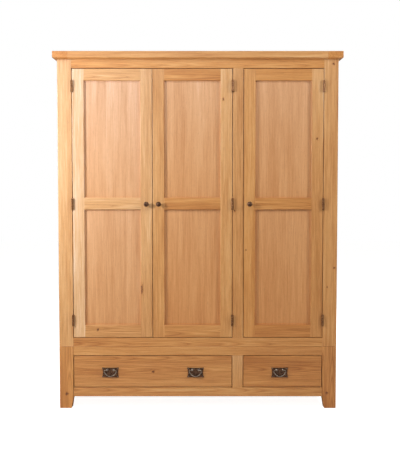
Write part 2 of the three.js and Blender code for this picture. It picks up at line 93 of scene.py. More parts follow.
def new_material(name):
    """An empty material with its output and Principled shader."""
    made = bpy.data.materials.new(name)
    made.use_nodes = True
    tree = made.node_tree
    tree.nodes.clear()
    output = tree.nodes.new("ShaderNodeOutputMaterial")
    shader = tree.nodes.new("ShaderNodeBsdfPrincipled")
    tree.links.new(shader.outputs[0], output.inputs["Surface"])
    return made, tree, shader


# ---------------------------------------- wood

RING_SPACING = 4.2 * MM      # yearly rings of slow-grown oak
LOG_TAPER = 0.019            # growth of a ring's radius along the log
AMBER = "#f4dcae"            # what one step of warmth multiplies the wood's colour by
PORE_WIDTH = 0.45 * MM
PORE_LENGTH = 9 * MM


def oak(name, colours, figure=1.0, ring_share=0.42, streak_share=0.55, knots=()):
    """Oak, sawn, sanded and waxed: long low-contrast streaks along the fibres, yearly rings that
    show as lines or arches, short dark pores, and a soft satin face. The colours run from the deep
    early wood to the pale late wood. Knots are (place, radius, upright stretch, front axis) in the
    object's frame."""
    made, tree, shader = new_material(name)
    grain = add_node(tree, "Attribute", {"attribute_name": "grain"}).outputs["Vector"]
    tone = add_node(tree, "Attribute", {"attribute_name": "tone"}).outputs["Fac"]
    warmth_and_painted_light = add_node(tree, "Attribute", {"attribute_name": "warmth_and_painted_light"}).outputs["Fac"]
    place = add_node(tree, "TexCoord").outputs["Object"]

    def noise(along, across, detail, roughness=0.55):
        scaled = add_node(tree, "Mapping", _0=grain, Scale=(along, across, across)).outputs[0]
        return add_node(tree, "TexNoise", Vector=scaled, Scale=1.0, Detail=detail,
                        Roughness=roughness).outputs["Fac"]

    broad = noise(1.1, 9.0, 2.0)
    streak = noise(2.6, 62.0, 3.0, 0.6)
    fleck = noise(5.5, 270.0, 2.0, 0.6)
    fibre = noise(16.0, 800.0, 2.0)
    wander = noise(1.7, 6.0, 2.0)

    # Knots darken their middle and push the rings aside
    knot_dark = 0.0
    core = 0.0
    ragged = math_node(tree, "MULTIPLY_ADD", noise(130.0, 240.0, 3.0), 3.2, -1.5)
    for centre, radius, length, flat in knots:
        squash = [1 / radius] * 3
        squash[Z] /= length
        squash[flat] = 0.15 / radius
        shifted = add_node(tree, "Mapping", {"vector_type": "TEXTURE"}, _0=place, Location=centre,
                           Scale=[1 / s for s in squash]).outputs[0]
        away = add_node(tree, "VectorMath", {"operation": "LENGTH"}, _0=shifted).outputs["Value"]
        away = math_node(tree, "ADD", away, ragged)
        near = add_node(tree, "MapRange", {"interpolation_type": "SMOOTHERSTEP"}, Value=away,
                        _1=0.0, _2=2.8, _3=1.0, _4=0.0).outputs[0]
        knot_dark = near if isinstance(knot_dark, float) else math_node(tree, "MAXIMUM", knot_dark, near)

    # Rings are cylinders round the pith, read where the board's face cuts them
    split = add_node(tree, "SeparateXYZ", _0=grain)
    across = add_node(tree, "CombineXYZ", _1=split.outputs["Y"], _2=split.outputs["Z"]).outputs[0]
    from_pith = add_node(tree, "VectorMath", {"operation": "LENGTH"}, _0=across).outputs["Value"]
    radius = math_node(tree, "MULTIPLY_ADD", split.outputs["X"], LOG_TAPER, from_pith)
    radius = math_node(tree, "MULTIPLY_ADD", wander, 0.022, radius)
    if not isinstance(knot_dark, float):
        radius = math_node(tree, "MULTIPLY_ADD", knot_dark, 0.016, radius)
    phase = math_node(tree, "FRACT", math_node(tree, "DIVIDE", radius, RING_SPACING))
    ring = add_node(tree, "ValToRGB", _0=phase)
    ring.color_ramp.elements[0].position = 0.0
    ring.color_ramp.elements[0].color = (0.15, 0.15, 0.15, 1)
    ring.color_ramp.elements[1].position = 1.0
    ring.color_ramp.elements[1].color = (0.45, 0.45, 0.45, 1)
    late = ring.color_ramp.elements.new(0.42)
    late.color = (0.85, 0.85, 0.85, 1)
    ring = ring.outputs[0]

    def swing(value, share):
        return math_node(tree, "MULTIPLY_ADD", value, share * figure, -0.5 * share * figure)

    level = math_node(tree, "ADD", tone, swing(streak, streak_share))
    level = math_node(tree, "ADD", level, swing(broad, 0.5))
    level = math_node(tree, "ADD", level, swing(fleck, 0.75))
    level = math_node(tree, "ADD", level, swing(ring, ring_share))
    level = math_node(tree, "ADD", level, swing(fibre, 0.5))
    if not isinstance(knot_dark, float):
        core = math_node(tree, "POWER", knot_dark, 3.0)
        level = math_node(tree, "MULTIPLY_ADD", knot_dark, -0.45, level)
    ramp = add_node(tree, "ValToRGB", _0=level)
    elements = ramp.color_ramp.elements
    elements[0].position = 0.0
    elements[0].color = linear(colours[0])
    elements[1].position = 1.0
    elements[1].color = linear(colours[-1])
    for i, colour in enumerate(colours[1:-1], 1):
        elements.new(i / (len(colours) - 1)).color = linear(colour)

    # Boards are tinted amber, partly by their own colour and partly as painted light: paler where light
    # falls, deeper amber in shade and, on upright boards, towards the foot
    powers = [math_node(tree, "POWER", share, warmth_and_painted_light) for share in linear(AMBER)[:3]]
    tint = add_node(tree, "CombineXYZ", _0=powers[0], _1=powers[1], _2=powers[2]).outputs[0]
    amber = add_node(tree, "VectorMath", {"operation": "MULTIPLY"}, _0=ramp.outputs[0], _1=tint).outputs[0]

    # Open pores are short dark dashes along the fibres
    pore_map = add_node(tree, "Mapping", _0=grain,
                        Scale=(1 / PORE_LENGTH, 1 / PORE_WIDTH, 1 / PORE_WIDTH)).outputs[0]
    pores = add_node(tree, "TexNoise", Vector=pore_map, Scale=0.45, Detail=1.0).outputs["Fac"]
    pores = add_node(tree, "MapRange", Value=pores, _1=0.60, _2=0.70, _3=0.0, _4=1.0).outputs[0]
    early = math_node(tree, "SUBTRACT", 1.0, ring)
    pores = math_node(tree, "MULTIPLY", pores, early)
    darker = add_node(tree, "Mix", {"data_type": "RGBA", "blend_type": "MULTIPLY"},
                      _0=math_node(tree, "MAXIMUM", math_node(tree, "MULTIPLY", pores, 0.55), core),
                      _6=amber,
                      _7=linear("#8a5c34")).outputs[2]
    tree.links.new(darker, shader.inputs["Base Color"])

    rough = add_node(tree, "MapRange", Value=fibre, _1=0.3, _2=0.7, _3=0.40, _4=0.54).outputs[0]
    tree.links.new(rough, shader.inputs["Roughness"])
    height = math_node(tree, "MULTIPLY_ADD", pores, -0.8, math_node(tree, "MULTIPLY", fibre, 0.35))
    bump = add_node(tree, "Bump", Strength=0.35, Distance=0.25 * MM, Height=height).outputs[0]
    tree.links.new(bump, shader.inputs["Normal"])
    shader.inputs["IOR"].default_value = 1.5
    shader.inputs["Coat Weight"].default_value = 0.4
    shader.inputs["Coat Roughness"].default_value = 0.38
    return made


# ---------------------------------------- metal and plastic

def cast_bronze(name, dark, worn, roughness):
    """Cast bronze with an antique brown patina: dark, rubbed brighter in patches, with the slight
    unevenness of sand casting."""
    made, tree, shader = new_material(name)
    place = add_node(tree, "TexCoord").outputs["Object"]
    patches = add_node(tree, "TexNoise", Vector=place, Scale=140.0, Detail=4.0).outputs["Fac"]
    grit = add_node(tree, "TexNoise", Vector=place, Scale=900.0, Detail=2.0).outputs["Fac"]
    worn_share = add_node(tree, "MapRange", Value=patches, _1=0.38, _2=0.72, _3=0.0, _4=1.0).outputs[0]
    colour = add_node(tree, "Mix", {"data_type": "RGBA"}, _0=worn_share, _6=linear(dark),
                      _7=linear(worn)).outputs[2]
    tree.links.new(colour, shader.inputs["Base Color"])
    rough = add_node(tree, "MapRange", Value=patches, _1=0.3, _2=0.7, _3=roughness + 0.12,
                     _4=roughness - 0.06).outputs[0]
    tree.links.new(rough, shader.inputs["Roughness"])
    bump = add_node(tree, "Bump", Strength=0.3, Distance=0.15 * MM, Height=grit).outputs[0]
    tree.links.new(bump, shader.inputs["Normal"])
    shader.inputs["Metallic"].default_value = 0.6
    return made


def satin_steel(name):
    """Drawn steel tube with satin nickel plating: fine rings of polishing across a bright grey metal."""
    made, tree, shader = new_material(name)
    place = add_node(tree, "TexCoord").outputs["Object"]
    lines = add_node(tree, "Mapping", _0=place, Scale=(2500.0, 30.0, 30.0)).outputs[0]
    brushed = add_node(tree, "TexNoise", Vector=lines, Scale=1.0, Detail=2.0).outputs["Fac"]
    rough = add_node(tree, "MapRange", Value=brushed, _1=0.3, _2=0.7, _3=0.22, _4=0.36).outputs[0]
    tree.links.new(rough, shader.inputs["Roughness"])
    colour = add_node(tree, "Mix", {"data_type": "RGBA"}, _0=brushed, _6=linear("#b4b2ac"),
                      _7=linear("#cfcdc7")).outputs[2]
    tree.links.new(colour, shader.inputs["Base Color"])
    shader.inputs["Metallic"].default_value = 1.0
    return made


def moulded_plastic(name):
    """Brown injection-moulded ABS of a magnetic catch, faintly textured by its mould."""
    made, tree, shader = new_material(name)
    place = add_node(tree, "TexCoord").outputs["Object"]
    spark = add_node(tree, "TexNoise", Vector=place, Scale=1800.0, Detail=2.0).outputs["Fac"]
    colour = add_node(tree, "Mix", {"data_type": "RGBA"}, _0=spark, _6=linear("#5a3d26"),
                      _7=linear("#6b4a30")).outputs[2]
    tree.links.new(colour, shader.inputs["Base Color"])
    bump = add_node(tree, "Bump", Strength=0.2, Distance=0.1 * MM, Height=spark).outputs[0]
    tree.links.new(bump, shader.inputs["Normal"])
    shader.inputs["Roughness"].default_value = 0.45
    return made


# Knots on the front: place across, height and radius in metres, and how far each is drawn out upright
KNOTS = [(-0.703, 0.079, 0.0055, 1), (0.693, 0.083, 0.0050, 1), (0.715, 1.836, 0.0055, 1),
         (-0.534, 0.426, 0.0045, 1), (-0.239, 0.199, 0.0050, 1), (0.631, 1.443, 0.0035, 1.5),
         (0.727, 0.757, 0.0040, 1), (0.134, 1.650, 0.0030, 2), (-0.298, 0.644, 0.0040, 5),
         (0.256, 0.853, 0.0028, 1), (0.690, 0.655, 0.0022, 1.5), (0.196, 1.060, 0.0022, 2)]
FRAME_OAK = oak("waxed_honey_oak", ["#925d30", "#c18751", "#dead78", "#efceaa"],
                knots=[((x, FRONT_Y, z), radius, length, Y) for x, z, radius, length in KNOTS])
PANEL_OAK = oak("waxed_oak_veneer", ["#a36d46", "#ca9468", "#e1b28c", "#efceb5"], figure=0.75,
                ring_share=0.28)
PALE_OAK = oak("lacquered_pale_oak", ["#a87d54", "#cfa577", "#e3c198", "#eed8ba"], figure=0.7)
BRONZE = cast_bronze("antique_cast_bronze", "#3c281b", "#866148", 0.34)
PEWTER = cast_bronze("rubbed_bronze_pewter", "#6a5c4f", "#b3a797", 0.34)
HINGE_BRASS = cast_bronze("aged_brass_hinge", "#6c4529", "#ad7f55", 0.38)
STEEL = satin_steel("satin_nickel_steel")
ABS = moulded_plastic("brown_moulded_abs")


# ---------------------------------------- making pieces

def finish_piece(name, shape, material, body, nodes=(), smooth=False):
    """Turns a bmesh into a piece that rides on a body and stands for CAD nodes."""
    mesh = bpy.data.meshes.new(name)
    shape.to_mesh(mesh)
    shape.free()
    if smooth:
        mesh.shade_smooth()
        mesh.set_sharp_from_angle(angle=math.radians(38))
    mesh.materials.append(material)
    piece = bpy.data.objects.new(name, mesh)
    bpy.context.collection.objects.link(piece)
    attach(piece, body)
    if nodes:
        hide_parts(*nodes)
    return piece


def box_shape(low, high):
    """A bmesh cuboid between two corners."""
    shape = bmesh.new()
    bmesh.ops.create_cube(shape, size=1)
    size = Vector(high) - Vector(low)
    bmesh.ops.scale(shape, vec=size, verts=shape.verts)
    bmesh.ops.translate(shape, vec=Vector(low) + size / 2, verts=shape.verts)
    return shape


def everything(shape):
    """All that a bmesh holds, as the cutting tools want it."""
    return shape.verts[:] + shape.edges[:] + shape.faces[:]


def absorb(shape, part):
    """Moves a bmesh into another one."""
    mesh = bpy.data.meshes.new("part")
    part.to_mesh(mesh)
    part.free()
    shape.from_mesh(mesh)
    bpy.data.meshes.remove(mesh)


def sharp_edges(shape):
    """The edges of a bmesh that are sharp enough to be eased."""
    return [edge for edge in shape.edges if edge.calc_face_angle(0) > SHARP]


def ease(shape, width, segments=2, edges=None):
    """Rounds edges as a sanded arris, all the sharp ones if none are given."""
    bmesh.ops.bevel(shape, geom=edges or sharp_edges(shape), offset=width, offset_type="OFFSET",
                    affect="EDGES", segments=segments, profile=0.5, material=-1)


def spin_profile(shape, profile, steps):
    """Spins (height, radius) points round the upright axis."""
    points = [shape.verts.new((radius, 0, height)) for height, radius in profile]
    edges = [shape.edges.new(pair) for pair in zip(points, points[1:])]
    bmesh.ops.spin(shape, geom=points + edges, cent=(0, 0, 0), axis=(0, 0, 1), angle=math.tau,
                   steps=steps, use_merge=True)


# Tones given to oak boards: lightness, and how amber the waxed wood is. They are partly the boards' own
# colour and partly painted light: the paler tones stand in for light, the deeper amber ones for shade.
TONES_AND_PAINTED_LIGHT = {
    "cream": (0.15, -0.2),
    "straw": (0.06, 0.15),
    "honey": (0.0, 0.5),
    "amber": (-0.02, 0.85),
    "russet": (-0.1, 1.05),
}
MIDDLE_TONE = 0.52           # the tone of a honey board before chance
PAINTED_FOOT_SHADE = 0.5              # painted shade: how much more amber an upright board is painted at its foot than at its head, where less light falls

# The boards in each tone; all others are honey. Boards where light falls on the left are paler and shaded
# boards low down and on the right deeper amber: painted light as well as the wood's own colour.
BOARD_TONES_AND_PAINTED_LIGHT = {
    "cream": ["left_door_left_stile_board"],
    "straw": ["left_front_post_board", "left_door_right_stile_board", "left_door_top_rail_board",
              "left_door_mid_rail_board", "left_door_upper_panel_veneer"],
    "amber": ["upper_top_rail_board", "upper_bottom_rail_board", "base_top_rail_board",
              "base_bottom_rail_board", "middle_door_top_rail_board", "middle_door_mid_rail_board",
              "middle_door_bottom_rail_board", "right_door_top_rail_board", "right_door_mid_rail_board",
              "right_door_left_stile_board", "middle_door_lower_panel_veneer",
              "right_door_lower_panel_veneer", "wide_drawer_front_board"],
    "russet": ["base_left_front_leg", "base_right_front_leg", "right_door_bottom_rail_board",
               "narrow_drawer_front_board", "top_left_end", "top_right_end"],
}
TONE_AND_PAINTED_LIGHT_OF = {board: shade for shade, boards in BOARD_TONES_AND_PAINTED_LIGHT.items() for board in boards}


def write_grain(mesh, name, along, wide, thick, low, high, cut, joints, tones):
    """Gives each face corner its place in the log that its stave was sawn from. The attribute grain
    is (along, across, depth) from the pith in metres, tone lightens or darkens a whole stave, and
    a third attribute turns it to amber. Tone and amber carry painted light as well as the wood's own
    colour: boards paler where light falls, deeper amber in shade, and upright boards deeper amber
    towards their foot as painted shade."""
    for made, kind in (("grain", "FLOAT_VECTOR"), ("tone", "FLOAT"), ("warmth_and_painted_light", "FLOAT")):
        mesh.attributes.new(made, kind, "CORNER")
    grain, tone, warmth_and_painted_light = (mesh.attributes[made] for made in ("grain", "tone", "warmth_and_painted_light"))
    # Each board's lightness and amber are partly its own colour and partly painted light: paler where
    # light falls, deeper amber in shade
    lightness, amber = TONES_AND_PAINTED_LIGHT[TONE_AND_PAINTED_LIGHT_OF.get(name, "honey")]
    # Painted shade: upright boards are painted more amber towards their foot, where less light falls
    painted_foot_shade = PAINTED_FOOT_SHADE if along == Z else 0.0
    edges = [low[wide]] + sorted(joints) + [high[wide]]
    chance = random.Random(name)
    staves = []
    for place, (left, right) in enumerate(zip(edges, edges[1:])):
        half = (right - left) / 2
        side = chance.choice((-1, 1))
        pith = {
            "flat": (chance.uniform(-0.5, 0.5) * half, chance.uniform(0.022, 0.045)),
            "rift": (side * (half + chance.uniform(0.02, 0.07)), chance.uniform(0.03, 0.06)),
            "quarter": (side * (half + chance.uniform(0.06, 0.14)), chance.uniform(0, 0.02)),
        }[cut]
        shade = tones[place] if isinstance(tones, tuple) else chance.uniform(-tones, tones)
        staves.append((left + half + pith[0], pith[1], chance.uniform(0, 40), shade))
    for face in mesh.polygons:
        middle = face.center[wide]
        index = sum(middle > joint for joint in sorted(joints))
        centre, depth, start, shade = staves[index]
        for corner in face.loop_indices:
            point = mesh.vertices[mesh.loops[corner].vertex_index].co
            grain.data[corner].vector = (
                point[along] + start, point[wide] - centre, point[thick] - low[thick] + depth)
            footward = 0.5 - (point.z - low[Z]) / (high[Z] - low[Z])
            tone.data[corner].value = MIDDLE_TONE + lightness + shade
            warmth_and_painted_light.data[corner].value = amber + painted_foot_shade * footward


def slice_at(shape, axis, places):
    """Cuts new edge loops square to an axis."""
    for place in places:
        normal, where = Vector((0, 0, 0)), Vector((0, 0, 0))
        normal[axis] = 1
        where[axis] = place
        bmesh.ops.bisect_plane(shape, geom=everything(shape), plane_co=where, plane_no=normal)


SOFT_ARRIS = 3.6             # mm, on the edges round a door's panels


def board(name, low, high, along, material, body, nodes=(), joints=(), cut="rift", eased=1.4,
          shape=None, wide=None, tones=0.07, butts=(), ends=True, soft_sides=()):
    """A wooden board with eased edges. Along is the axis of its fibres, joints are the places across
    it where the staves that it is glued up from meet, and butts are (side, start, end) stretches of
    its length where another part lies flush against its low or high side, so the edge stays sharp.
    Without ends, the edges of its two ends stay sharp as well. Soft sides are sanded rounder."""
    low, high = Vector(low), Vector(high)
    rest = [axis for axis in (X, Y, Z) if axis != along]
    if wide is None:
        wide = max(rest, key=lambda axis: high[axis] - low[axis])
    thick = next(axis for axis in rest if axis != wide)
    if shape is None:
        shape = box_shape(low, high)
    if eased:
        slice_at(shape, along, {place for butt in butts for place in butt[1:]
                                if low[along] + MM < place < high[along] - MM})

        arris = shape.edges.layers.int.new("arris")
        for edge in shape.edges:
            middle = (edge.verts[0].co + edge.verts[1].co) / 2
            at = middle[along]
            side = next((side for side, corner in ((-1, low), (1, high))
                         if abs(middle[wide] - corner[wide]) < TOUCHING), 0)
            held = any(side == butt[0] and butt[1] - TOUCHING <= at <= butt[2] + TOUCHING
                       for butt in butts)
            at_end = min(at - low[along], high[along] - at) < TOUCHING
            if edge.calc_face_angle(0) > SHARP and not held and (ends or not at_end):
                edge[arris] = 2 if side in soft_sides else 1
        for mark, width, segments in ((2, SOFT_ARRIS, 3), (1, eased, 2)):
            chosen = [edge for edge in shape.edges if edge[arris] == mark]
            if chosen:
                ease(shape, width * MM, segments, chosen)
    slice_at(shape, wide, joints)
    piece = finish_piece(name, shape, material, body, nodes)
    write_grain(piece.data, name, along, wide, thick, low, high, cut, joints, tones)
    return piece


def even_joints(low, high, about):
    """Places that split a width into equal staves of about the given width."""
    count = max(1, round((high - low) / about))
    return [low + (high - low) * i / count for i in range(1, count)]


def uneven_joints(name, low, high, narrow, broad):
    """Places that split a width into staves of chance widths."""
    chance = random.Random(name)
    places = []
    at = low
    while True:
        at += chance.uniform(narrow, broad)
        if at > high - narrow * 0.7:
            return places
        places.append(at)


def turned(name, profile, centre, direction, material, body, nodes=(), steps=32):
    """A turned piece: the profile's (height, radius) points spun round an axis through the centre."""
    shape = bmesh.new()
    spin_profile(shape, profile, steps)
    bmesh.ops.remove_doubles(shape, verts=shape.verts, dist=0.01 * MM)
    bmesh.ops.recalc_face_normals(shape, faces=shape.faces)
    turn = Vector((0, 0, 1)).rotation_difference(Vector(direction)).to_matrix().to_4x4()
    bmesh.ops.transform(shape, matrix=Matrix.Translation(centre) @ turn, verts=shape.verts)
    return finish_piece(name, shape, material, body, nodes, smooth=True)


def arc(centre_h, centre_r, radius, start, end, steps):
    """Points of a profile on a circle, from start to end in degrees, 0 outwards and 90 upwards."""
    angles = [math.radians(start + (end - start) * i / steps) for i in range(steps + 1)]
    return [(centre_h + radius * math.sin(a), centre_r + radius * math.cos(a)) for a in angles]


def swell(base, height, radius, *angles):
    """Points of a profile on a quarter ellipse, at angles in degrees above its widest place."""
    return [(base + height * math.sin(a), radius * math.cos(a)) for a in map(math.radians, angles)]


# ---------------------------------------- camera, lights and floor

CAMERA_DISTANCE = 4.6
CAMERA_HEIGHT = 1.239
CAMERA_SIDE = 0.0115
CAMERA_PITCH = math.radians(3.143)
CAMERA_LENS = 69.35          # mm

camera = bpy.data.objects.new("camera", bpy.data.cameras.new("camera"))
bpy.context.collection.objects.link(camera)
camera.location = (CAMERA_SIDE, FRONT_Y - CAMERA_DISTANCE, CAMERA_HEIGHT)
camera.rotation_euler = (math.pi / 2 - CAMERA_PITCH, 0, 0)
camera.data.lens = CAMERA_LENS
bpy.context.scene.camera = camera


def softbox(name, place, aim, size, power):
    """An area light that faces a point."""
    lamp = bpy.data.lights.new(name, "AREA")
    lamp.shape = "RECTANGLE"
    lamp.size, lamp.size_y = size
    lamp.energy = power
    made = bpy.data.objects.new(name, lamp)
    made.location = place
    made.rotation_euler = (Vector(aim) - Vector(place)).to_track_quat("-Z", "Y").to_euler()
    bpy.context.collection.objects.link(made)
    return made


softbox("key_left", (-1.75, FRONT_Y - 1.05, 1.58), (-0.1, FRONT_Y, 1.15), (0.13, 0.18), 32)
softbox("overhead", (-0.2, FRONT_Y - 1.2, 2.95), (0, FRONT_Y, 1.2), (1.4, 0.3), 12)
softbox("front_left", (-1.1, FRONT_Y - 4.4, 2.5), (-0.3, FRONT_Y, 1.3), (2.2, 1.0), 27)
back_fill = softbox("back_fill", (1.2, BACK_Y + 2.6, 2.3), (0, BACK_Y, 1.0), (1.6, 1.4), 60)
back_fill.visible_glossy = False
softbox("fill_right", (2.6, FRONT_Y - 1.1, 2.2), (0.2, FRONT_Y, 1.2), (0.35, 0.5), 37)

world = bpy.data.worlds.new("studio")
world.use_nodes = True
world.node_tree.nodes.clear()
AMBIENT = 0.08
PAPER_GLOW = 0.93            # how white the paper looks to the camera
is_camera = add_node(world.node_tree, "LightPath").outputs["Is Camera Ray"]
strength = math_node(world.node_tree, "MULTIPLY_ADD", is_camera, 1.0 - AMBIENT, AMBIENT)
glow = add_node(world.node_tree, "Background", Color=(1, 1, 1, 1), Strength=strength).outputs[0]
add_node(world.node_tree, "OutputWorld", Surface=glow)
bpy.context.scene.world = world
bpy.context.scene.view_settings.view_transform = "Standard"

floor_shape = bmesh.new()
bmesh.ops.create_grid(floor_shape, x_segments=1, y_segments=1, size=12)
floor_mesh = bpy.data.meshes.new("studio_floor")
floor_shape.to_mesh(floor_mesh)
floor_shape.free()
floor = bpy.data.objects.new("studio_floor", floor_mesh)
bpy.context.collection.objects.link(floor)
paper, paper_tree, paper_shader = new_material("matt_white_paper")
paper_shader.inputs["Base Color"].default_value = linear("#e8e6e2")
paper_shader.inputs["Roughness"].default_value = 0.9
paper_shader.inputs["Emission Color"].default_value = (1, 1, 1, 1)
seen = add_node(paper_tree, "LightPath").outputs["Is Camera Ray"]
paper_glow = math_node(paper_tree, "MULTIPLY", seen, PAPER_GLOW)
paper_tree.links.new(paper_glow, paper_shader.inputs["Emission Strength"])
floor_mesh.materials.append(paper)


# ---------------------------------------- top slab

SLAB_END = 80 * MM
SLAB_BEVEL_RUN = 19 * MM
SLAB_BEVEL_RISE = 6 * MM


def bevel_under(shape, edge, axis, side):
    """Slices the slab's lower edge off along one side."""
    normal = Vector((0, 0, -SLAB_BEVEL_RUN))
    normal[axis] = side * SLAB_BEVEL_RISE
    where = Vector((0, 0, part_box("top_panel")[0].z + SLAB_BEVEL_RISE))
    where[axis] = edge
    cut = bmesh.ops.bisect_plane(shape, geom=everything(shape),
                                 plane_co=where, plane_no=normal, clear_outer=True)
    rim = [e for e in cut["geom_cut"] if isinstance(e, bmesh.types.BMEdge)]
    bmesh.ops.contextual_create(shape, geom=rim)


def make_top():
    """The slab: long boards between a cross end piece on the left and one on the right."""
    low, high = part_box("top_panel")
    parts = [
        ("top_left_end", low.x, low.x + SLAB_END, Y, [-1], "flat"),
        ("top_centre", low.x + SLAB_END, high.x - SLAB_END, X, [], "rift"),
        ("top_right_end", high.x - SLAB_END, high.x, Y, [1], "flat"),
    ]
    for name, left, right, along, ends, cut in parts:
        part_low, part_high = Vector((left, low.y, low.z)), Vector((right, high.y, high.z))
        shape = box_shape(part_low, part_high)
        bevel_under(shape, low.y, Y, -1)
        for side in ends:
            bevel_under(shape, low.x if side < 0 else high.x, X, side)
        # The cross pieces are eased all round; the long boards stay sharp where they meet them
        glued = (left, right) if along == X else ()
        outer = [edge for edge in sharp_edges(shape)
                 if not any(all(abs(vert.co.x - joint) < TOUCHING for vert in edge.verts)
                            for joint in glued)]
        ease(shape, 2.2 * MM, 3, outer)
        joints = even_joints(low.y, high.y, 0.1) if along == X else []
        board(name, part_low, part_high, along, FRAME_OAK, "carcass",
              nodes=["top_panel"] if name == "top_centre" else [], joints=joints, cut=cut,
              eased=0, shape=shape, wide=Y if along == X else X)


make_top()


# ---------------------------------------- carcass

PLANK_WIDTH = 92 * MM


def planked_panel(name, node, body):
    """Tongued boards with a small groove at each joint."""
    low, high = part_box(node)
    edges = [low.x] + even_joints(low.x, high.x, PLANK_WIDTH) + [high.x]
    shape = bmesh.new()
    for left, right in zip(edges, edges[1:]):
        plank = box_shape((left, low.y, low.z), (right, high.y, high.z))
        ease(plank, 1.6 * MM, 1)
        absorb(shape, plank)
    board(name, low, high, Z, PALE_OAK, body, nodes=[node], joints=edges[1:-1], eased=0, shape=shape,
          tones=0.14)


def side_parts(node, prefix, body):
    """An end of the carcass: back post and the end board between the posts."""
    low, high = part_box(node)
    side = -1 if low.x < 0 else 1
    outer = low.x if side < 0 else high.x
    xs = sorted((outer, outer - side * BACK_POST_WIDTH))
    board(prefix + "_back_post", (xs[0], high.y - BACK_POST_DEPTH, low.z), (xs[1], high.y, high.z), Z,
          FRAME_OAK, body, nodes=[node])
    xs = sorted((outer - side * END_RECESS, outer - side * (END_RECESS + END_THICKNESS)))
    board_low = (xs[0], low.y, low.z)
    board_high = (xs[1], high.y - BACK_POST_DEPTH - JOINT_GAP, high.z)
    board(prefix + "_end_board", board_low, board_high, Z, FRAME_OAK, body,
          joints=uneven_joints(prefix, board_low[1], board_high[1], 0.08, 0.13), cut="flat")


def make_carcass():
    """Ends, posts, rails, partition, floor and back of the cupboards."""
    for side in ("left", "right"):
        side_parts(f"{side}_side", f"{side}_carcass", "carcass")
        low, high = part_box(f"{side}_front_post")
        inner = 1 if side == "left" else -1
        butts = [(inner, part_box(rail)[0].z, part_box(rail)[1].z)
                 for rail in ("cupboard_floor", "upper_top_rail")]
        board(f"{side}_front_post_board", low, high, Z, FRAME_OAK, "carcass",
              nodes=[f"{side}_front_post"], eased=2.0, butts=butts)
    rail_low, rail_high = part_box("upper_top_rail")
    low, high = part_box("centre_post")
    board("upper_top_rail_board", rail_low, rail_high, X, FRAME_OAK, "carcass",
          nodes=["upper_top_rail"], cut="flat", eased=1.6, ends=False, butts=[(-1, low.x, high.x)])
    post_high = Vector((high.x, low.y + BACK_POST_DEPTH, rail_low.z - FITTED_GAP))
    board("centre_post_board", low, post_high, Z, FRAME_OAK, "carcass", nodes=["centre_post"], cut="flat",
          eased=2.0, ends=False)
    middle = (low.x + high.x) / 2
    partition_low = (middle - DIVIDER_HALF, low.y + BACK_POST_DEPTH + JOINT_GAP, low.z)
    partition_high = (middle + DIVIDER_HALF, high.y, high.z)
    board("partition_board", partition_low, partition_high, Z, PALE_OAK, "carcass",
          joints=uneven_joints("partition", partition_low[1], partition_high[1], 0.08, 0.13), cut="flat")

    post_left, post_right = low.x, high.x
    low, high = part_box("cupboard_floor")
    board("upper_bottom_rail_board", (rail_low.x, low.y, low.z), (rail_high.x, rail_high.y, high.z), X,
          FRAME_OAK, "carcass", nodes=["cupboard_floor"], cut="flat", eased=1.6, ends=False,
          butts=[(1, post_left, post_right)])
    floor_low = (low.x, low.y + BACK_POST_DEPTH + FITTED_GAP, high.z - FLOOR_THICKNESS)
    board("cupboard_floor_board", floor_low, (high.x, high.y, high.z), X, PALE_OAK, "carcass",
          joints=even_joints(floor_low[1], high.y, 0.1), cut="flat", wide=Y)
    board("cupboard_floor_lip", (rail_low.x, rail_high.y + JOINT_GAP, high.z - FLOOR_THICKNESS),
          (rail_high.x, floor_low[1] - JOINT_GAP, high.z), X, PALE_OAK, "carcass", wide=Y)
    planked_panel("back_planks", "back_panel", "carcass")


make_carcass()


def make_hanging_rail(node):
    """A steel tube held at both ends in round sockets."""
    low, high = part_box(node)
    radius = (high.z - low.z) / 2
    centre = (low + high) / 2
    tube = [(0, 0), (0, radius - 0.6 * MM), (0.6 * MM, radius), (high.x - low.x - 0.6 * MM, radius),
            (high.x - low.x, radius - 0.6 * MM), (high.x - low.x, 0)]
    turned(f"{node}_tube", tube, (low.x, centre.y, centre.z), (1, 0, 0), STEEL, "carcass", [node])
    cup = [(0.2 * MM, 0), (0.2 * MM, radius + 9 * MM), (2.2 * MM, radius + 8 * MM),
           (3.0 * MM, radius + 3.2 * MM), (13 * MM, radius + 2.4 * MM), (13.6 * MM, radius + 1.6 * MM),
           (13.6 * MM, radius + 0.1 * MM), (3 * MM, radius + 0.1 * MM), (3 * MM, 0)]
    for end, side in ((low.x, 1), (high.x, -1)):
        place = "left" if side > 0 else "right"
        turned(f"{node}_{place}_socket", cup, (end - side * 0.2 * MM, centre.y, centre.z), (side, 0, 0),
               STEEL, "carcass")


for rail_node in ("wide_hanging_rail", "narrow_hanging_rail"):
    make_hanging_rail(rail_node)


# ---------------------------------------- base

FOOT_TAPER = 12 * MM
LEG_GLUE_LINE = 64 * MM      # from the outer side of the right front leg


def leg(name, low, high, side, body, nodes=()):
    """A leg whose foot narrows on its inner side below the bottom rail."""
    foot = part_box("base_bottom_rail")[0].z
    shape = box_shape(low, high)
    slice_at(shape, Z, [foot])
    inner = low[0] if side > 0 else high[0]
    for vert in shape.verts:
        if abs(vert.co.x - inner) < TOUCHING and vert.co.z < foot / 2:
            vert.co.x += side * FOOT_TAPER
    ease(shape, 1.8 * MM)
    glued = [high[0] - LEG_GLUE_LINE] if name == "base_right_front_leg" else []
    board(name, low, high, Z, FRAME_OAK, body, nodes=nodes, eased=0, shape=shape, cut="flat",
          joints=glued, wide=X)


